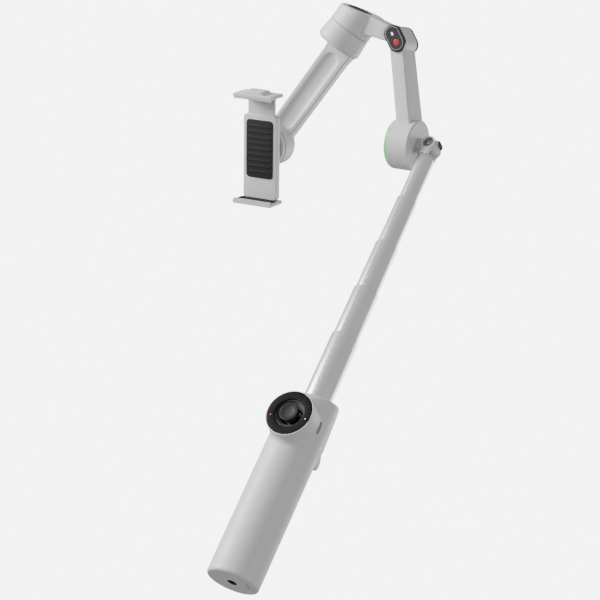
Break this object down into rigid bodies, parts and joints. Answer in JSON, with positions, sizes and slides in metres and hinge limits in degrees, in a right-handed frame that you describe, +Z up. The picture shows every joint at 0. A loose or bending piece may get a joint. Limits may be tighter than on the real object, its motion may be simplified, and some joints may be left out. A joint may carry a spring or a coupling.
{
  "type": "gimbal stabilizer",
  "caption": "Hand-held three-axis phone gimbal: oval handle with joystick and trigger, telescopic stick, folding motor arm and a spring phone clamp.",
  "frame": {"origin": "centre of the handle's bottom face, at the mouth of the tripod thread", "axes": "+Z up the handle and along the telescopic stick, -Y towards the joystick side, +X towards the charging port"},
  "size_m": [0.1669, 0.0927, 0.4737],
  "materials": {
    "shell": "fine matt, warm stone grey",
    "dark_trim": "glossy charcoal black",
    "dark_plastic": "matt charcoal",
    "tube_metal": "satin anodised silver grey",
    "steel": "ground",
    "magnet": "nickel plated",
    "core": "varnished core with copper windings",
    "insert": "turned",
    "pad": "matt rubber",
    "red_plastic": "red, semi gloss",
    "green_light": "lit light guide",
    "white_light": "clear diffuser",
    "board": "green solder mask",
    "cell": "sleeved steel can"
  },
  "bodies": {
    "handle": {"handle_shell": "shell", "base_cap": "shell", "tripod_insert": "insert", "touch_ring": "dark_trim", "joystick_funnel": "dark_plastic", "joystick_base": "dark_plastic", "trigger_pin": "steel", "trigger_spring": "steel", "usb_port": "steel", "battery_cell": "cell", "battery_carrier": "dark_plastic", "main_board": "board", "stick_sleeve": "dark_plastic"},
    "trigger": {"trigger": "shell"},
    "joystick_yoke": {"joystick_yoke": "dark_plastic"},
    "joystick": {"joystick_cap": "pad"},
    "section_1": {"tube_1": "tube_metal"},
    "section_2": {"tube_2": "tube_metal", "foot_bush_2": "dark_plastic"},
    "section_3": {"tube_3": "tube_metal", "foot_bush_3": "dark_plastic"},
    "section_4": {"tube_4": "tube_metal", "foot_bush_4": "dark_plastic"},
    "section_5": {"tube_5": "tube_metal", "foot_bush_5": "dark_plastic", "stick_yoke": "dark_plastic", "hinge_pin": "steel"},
    "knuckle": {"pan_bracket": "shell", "stop_pad": "pad", "pan_stator": "core", "pan_bearings": "steel"},
    "arm": {"pan_arm": "shell", "pan_magnets": "magnet", "pan_shaft": "steel", "light_ring": "green_light", "upper_arm": "shell", "motor_cap": "dark_trim", "roll_stator": "core", "roll_bearings": "steel", "module_bezel": "dark_trim", "module_trim": "white_light", "light_window": "white_light", "module_board": "board", "module_back": "dark_plastic"},
    "record_button": {"record_button": "red_plastic"},
    "lower_arm": {"lower_arm": "shell", "roll_magnets": "magnet", "roll_shaft": "steel", "tilt_stator": "core", "tilt_bearings": "steel"},
    "clamp": {"clamp_mount": "shell", "tilt_magnets": "magnet", "steel_disc": "steel", "clamp_body": "shell", "lower_pad": "pad", "clamp_springs": "steel", "back_pad": "pad"},
    "jaw": {"sliding_jaw": "shell", "upper_pad": "pad"}
  },
  "joints": [
    {"name": "trigger_pivot", "type": "hinge", "parent": "handle", "child": "trigger", "pos_m": [0, 0.0183, 0.1185], "axis": [-1, 0, 0], "range_deg": [0, 6], "stiffness_Nm_per_rad": 0.6, "springref_deg": -2.86, "deforming": ["trigger_spring"]},
    {"name": "joystick_pitch", "type": "hinge", "parent": "handle", "child": "joystick_yoke", "pos_m": [0, -0.015, 0.1253], "axis": [1, 0, 0], "range_deg": [-8, 8], "stiffness_Nm_per_rad": 0.05},
    {"name": "joystick_yaw", "type": "hinge", "parent": "joystick_yoke", "child": "joystick", "pos_m": [0, -0.015, 0.1253], "axis": [0, 0, 1], "range_deg": [-8, 8], "stiffness_Nm_per_rad": 0.05},
    {"name": "stick_slide_1", "type": "slide", "parent": "handle", "child": "section_1", "axis": [0, 0, 1], "range_m": [-0.041, 0]},
    {"name": "stick_slide_2", "type": "slide", "parent": "section_1", "child": "section_2", "axis": [0, 0, 1], "range_m": [-0.041, 0]},
    {"name": "stick_slide_3", "type": "slide", "parent": "section_2", "child": "section_3", "axis": [0, 0, 1], "range_m": [-0.041, 0]},
    {"name": "stick_slide_4", "type": "slide", "parent": "section_3", "child": "section_4", "axis": [0, 0, 1], "range_m": [-0.041, 0]},
    {"name": "stick_slide_5", "type": "slide", "parent": "section_4", "child": "section_5", "axis": [0, 0, 1], "range_m": [-0.039, 0]},
    {"name": "head_fold", "type": "hinge", "parent": "section_5", "child": "knuckle", "pos_m": [0, 0.004, 0.3815], "axis": [0, 1, 0], "range_deg": [0, 90]},
    {"name": "pan", "type": "hinge", "parent": "knuckle", "child": "arm", "pos_m": [0, 0.004, 0.3815], "axis": [1, 0, 0], "range_deg": [-160, 172]},
    {"name": "record_press", "type": "slide", "parent": "arm", "child": "record_button", "axis": [0, 0.829, 0.5592], "range_m": [0, 0.0005], "stiffness_N_per_m": 400, "springref_m": -0.0005},
    {"name": "roll", "type": "hinge", "parent": "arm", "child": "lower_arm", "pos_m": [-0.08306, -0.04304, 0.44892], "axis": [0.4722, -0.3666, 0.8017], "range_deg": [-120, 198]},
    {"name": "tilt", "type": "hinge", "parent": "lower_arm", "child": "clamp", "pos_m": [-0.12941, -0.00286, 0.36105], "axis": [0, 0.6801, 0.7331], "range_deg": [-106, 235]},
    {"name": "jaw_slide", "type": "slide", "parent": "clamp", "child": "jaw", "axis": [0, -0.7331, 0.6801], "range_m": [-0.014, 0.004], "deforming": ["clamp_springs"]}
  ]
}
